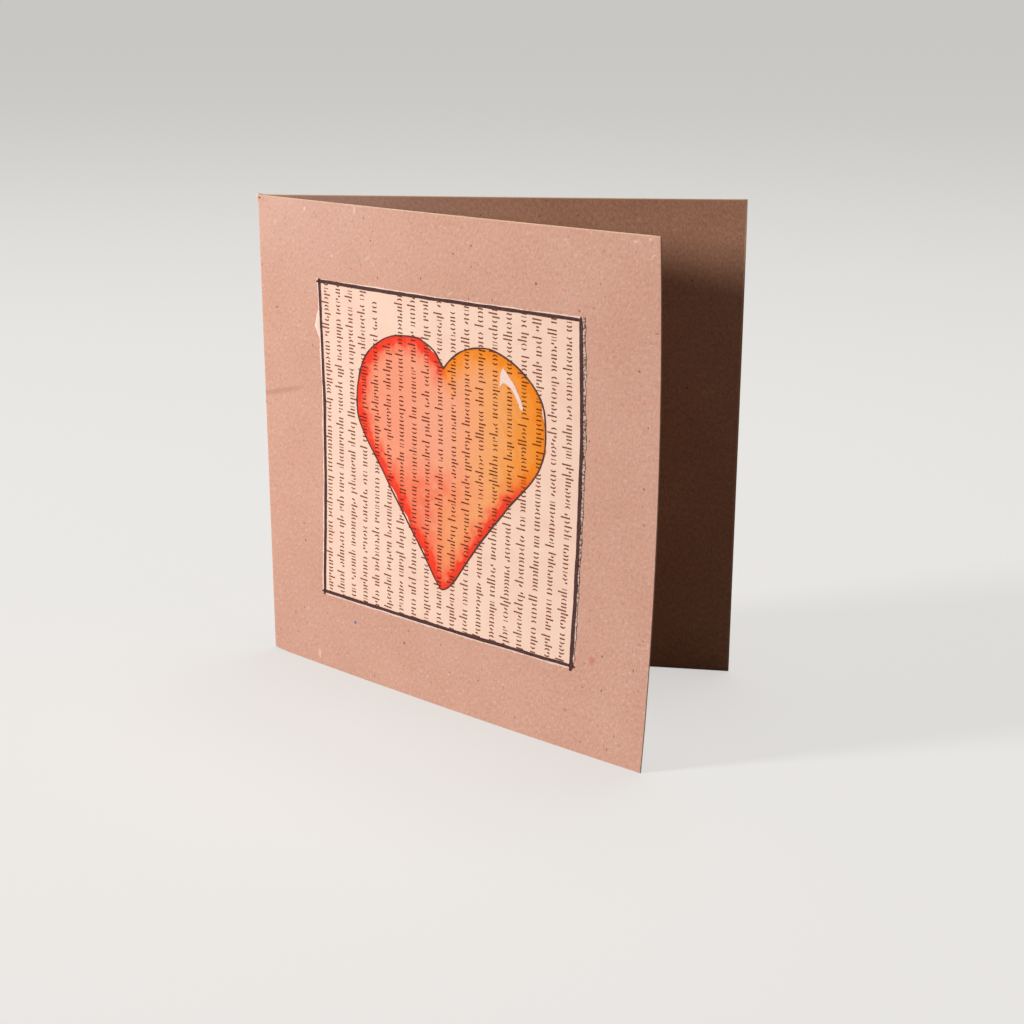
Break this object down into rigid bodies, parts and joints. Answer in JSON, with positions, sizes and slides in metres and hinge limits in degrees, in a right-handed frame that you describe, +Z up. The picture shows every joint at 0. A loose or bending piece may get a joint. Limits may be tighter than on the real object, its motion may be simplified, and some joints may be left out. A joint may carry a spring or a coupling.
{
  "type": "greeting card",
  "caption": "Square folded kraft greeting card that stands open in a V, with a painted heart on a framed square of book page pasted on its front.",
  "frame": {"origin": "foot of the fold, in the middle of the card's thickness, on the surface that the card stands on", "axes": "+Z up along the fold, +X from the fold out between the two leaves, -Y the side that the front leaf faces"},
  "size_m": [0.1312, 0.0818, 0.135],
  "materials": {
    "kraft_card": "matte",
    "page_paper": "matte",
    "heart_paint": "matte",
    "pen_ink": "matte",
    "white_pen": "matte"
  },
  "bodies": {
    "root": {"card": "kraft_card", "page": "page_paper", "heart": "heart_paint", "ink_lines": "pen_ink", "shine": "white_pen"}
  },
  "joints": []
}
